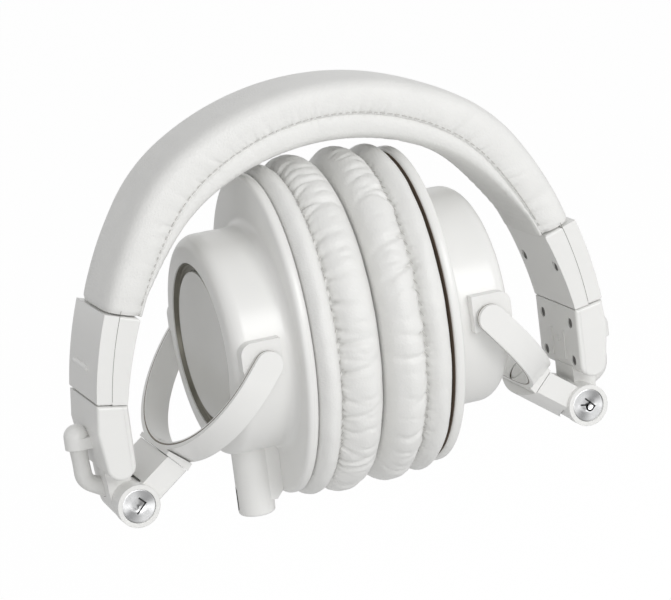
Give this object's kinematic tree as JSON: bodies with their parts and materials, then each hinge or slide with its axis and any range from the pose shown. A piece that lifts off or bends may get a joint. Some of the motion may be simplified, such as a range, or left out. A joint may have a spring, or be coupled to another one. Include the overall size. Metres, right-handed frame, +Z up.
{
  "type": "over-ear headphones",
  "caption": "Folding over-ear headphones, stored folded: padded headband, click sliders, fold hinges, swivelling yokes and oval cups with soft ear pads.",
  "frame": {"origin": "on the surface that the folded set stands on, under the middle between the two cups", "axes": "+X towards the right unit, +Y towards the back of the head, +Z up towards the crown of the headband"},
  "size_m": [0.1774, 0.087, 0.1283],
  "materials": {
    "white_gloss": "glossy white moulding",
    "white_leatherette": "satin white imitation leather",
    "steel": "satin",
    "dark_steel": "blackened",
    "spun_aluminium": "circular brushed",
    "grey_rubber": "matte, flexible",
    "dark_ring": "satin olive brown",
    "grey_plate": "satin",
    "grey_metal": "satin",
    "black_plastic": "matte",
    "film": "thin film",
    "felt": "felt",
    "screen_cloth": "open knit cloth"
  },
  "bodies": {
    "headband": {"spring_band": "steel", "headband_sleeve": "white_leatherette", "head_cushion": "white_leatherette", "end_cap_outer_right": "white_gloss", "end_cap_inner_right": "white_gloss", "end_cap_screws_right": "dark_steel", "detent_spring_right": "steel", "end_cap_outer_left": "white_gloss", "end_cap_inner_left": "white_gloss", "end_cap_screws_left": "dark_steel", "detent_spring_left": "steel"},
    "right_slider_unit": {"slider_rail_right": "steel", "slider_block_right": "white_gloss", "slider_cover_right": "white_gloss", "slider_screws_right": "dark_steel", "cable_sleeve_right": "grey_rubber"},
    "right_neck_unit": {"neck_right": "white_gloss", "hinge_pin_right": "steel", "hinge_disc_right": "spun_aluminium", "swivel_screw_right": "white_gloss"},
    "right_yoke_unit": {"yoke_right": "white_gloss", "yoke_core_right": "steel", "yoke_pins_right": "steel"},
    "right_cup_unit": {"cup_housing_right": "white_gloss", "cap_ring_right": "dark_ring", "cap_plate_right": "grey_plate", "baffle_right": "black_plastic", "driver_frame_right": "black_plastic", "driver_magnet_right": "steel", "driver_dome_right": "film", "damping_felt_right": "felt", "baffle_screws_right": "dark_steel", "ear_pad_right": "white_leatherette", "pad_screen_right": "screen_cloth"},
    "left_slider_unit": {"slider_rail_left": "steel", "slider_block_left": "white_gloss", "slider_cover_left": "white_gloss", "slider_screws_left": "dark_steel", "cable_sleeve_left": "grey_rubber"},
    "left_neck_unit": {"neck_left": "white_gloss", "hinge_pin_left": "steel", "hinge_disc_left": "spun_aluminium", "swivel_screw_left": "white_gloss"},
    "left_yoke_unit": {"yoke_left": "white_gloss", "yoke_core_left": "steel", "yoke_pins_left": "steel"},
    "left_cup_unit": {"cup_housing_left": "white_gloss", "cap_ring_left": "dark_ring", "cap_plate_left": "grey_plate", "baffle_left": "black_plastic", "driver_frame_left": "black_plastic", "driver_magnet_left": "steel", "driver_dome_left": "film", "damping_felt_left": "felt", "baffle_screws_left": "dark_steel", "ear_pad_left": "white_leatherette", "pad_screen_left": "screen_cloth", "socket_liner": "grey_metal"}
  },
  "joints": [
    {"name": "right_slide", "type": "slide", "parent": "headband", "child": "right_slider_unit", "axis": [0.2565, 0, -0.9666], "range_m": [0, 0.024]},
    {"name": "right_fold", "type": "hinge", "parent": "right_slider_unit", "child": "right_neck_unit", "pos_m": [0.0729, 0, 0.01436], "axis": [0, -1, 0], "range_deg": [0, 135], "deforming": ["ear_pad_right", "ear_pad_left"]},
    {"name": "right_swivel", "type": "hinge", "parent": "right_neck_unit", "child": "right_yoke_unit", "pos_m": [0.0593, 0, 0.0244], "axis": [0.7251, 0, -0.6887], "range_deg": [-45, 45], "deforming": ["ear_pad_right", "ear_pad_left"]},
    {"name": "right_tilt", "type": "hinge", "parent": "right_yoke_unit", "child": "right_cup_unit", "pos_m": [0.035, 0, 0.054], "axis": [0, 1, 0], "range_deg": [0, 135]},
    {"name": "left_slide", "type": "slide", "parent": "headband", "child": "left_slider_unit", "axis": [-0.2565, 0, -0.9666], "range_m": [0, 0.024]},
    {"name": "left_fold", "type": "hinge", "parent": "left_slider_unit", "child": "left_neck_unit", "pos_m": [-0.0729, 0, 0.01436], "axis": [0, 1, 0], "range_deg": [0, 135], "deforming": ["ear_pad_right", "ear_pad_left"]},
    {"name": "left_swivel", "type": "hinge", "parent": "left_neck_unit", "child": "left_yoke_unit", "pos_m": [-0.0593, 0, 0.0244], "axis": [-0.7251, 0, -0.6887], "range_deg": [-45, 45], "deforming": ["ear_pad_right", "ear_pad_left"]},
    {"name": "left_tilt", "type": "hinge", "parent": "left_yoke_unit", "child": "left_cup_unit", "pos_m": [-0.035, 0, 0.054], "axis": [0, -1, 0], "range_deg": [0, 135]}
  ],
  "couplings": [
    {"joint": "right_tilt", "follows": "right_fold", "ratio": 1},
    {"joint": "left_tilt", "follows": "left_fold", "ratio": 1}
  ]
}
